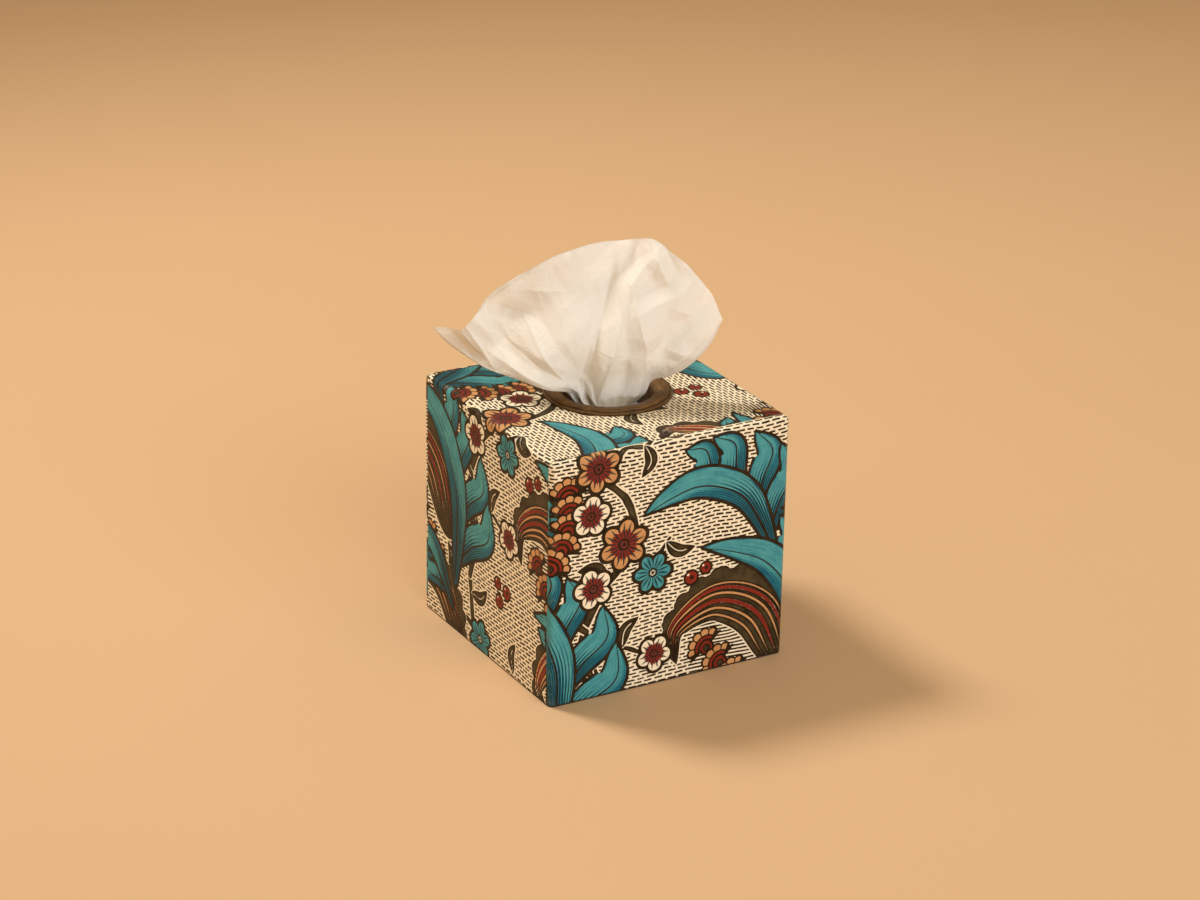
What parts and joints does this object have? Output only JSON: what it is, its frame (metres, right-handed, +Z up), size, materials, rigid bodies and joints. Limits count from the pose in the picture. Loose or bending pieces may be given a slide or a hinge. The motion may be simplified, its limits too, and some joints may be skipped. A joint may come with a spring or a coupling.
{
  "type": "tissue box",
  "caption": "Cube tissue box cover in varnished printed paper with a moulded round rim, standing over a card carton, with a pulled-up tissue fanned out above the hole.",
  "frame": {"origin": "on the ground at the middle of the cover's foot", "axes": "+Z up, -Y out of the front face (the right-hand face in the picture), -X out of the left side"},
  "size_m": [0.145, 0.145, 0.2288],
  "materials": {
    "printed_paper": "printed paper pasted on and varnished, semi-gloss: cream ground, brown dashes, teal leaves",
    "painted_board": "fibreboard, painted dark brown and matt at the foot, bare inside",
    "painted_wood": "turned wood, brushed bronze-brown paint, satin",
    "carton_card": "folding boxboard, matt",
    "clear_film": "thin clear film",
    "tissue_paper": "soft two-ply tissue, warm white, slightly translucent"
  },
  "bodies": {
    "root": {"top_board": "painted_board", "front_board": "painted_board", "back_board": "painted_board", "left_board": "painted_board", "right_board": "painted_board", "front_paper": "printed_paper", "back_paper": "printed_paper", "wrap_paper": "printed_paper", "rim_ring": "painted_wood", "carton": "carton_card", "dispensing_film": "clear_film", "tissue_stack": "tissue_paper", "tissue": "tissue_paper"}
  },
  "joints": []
}
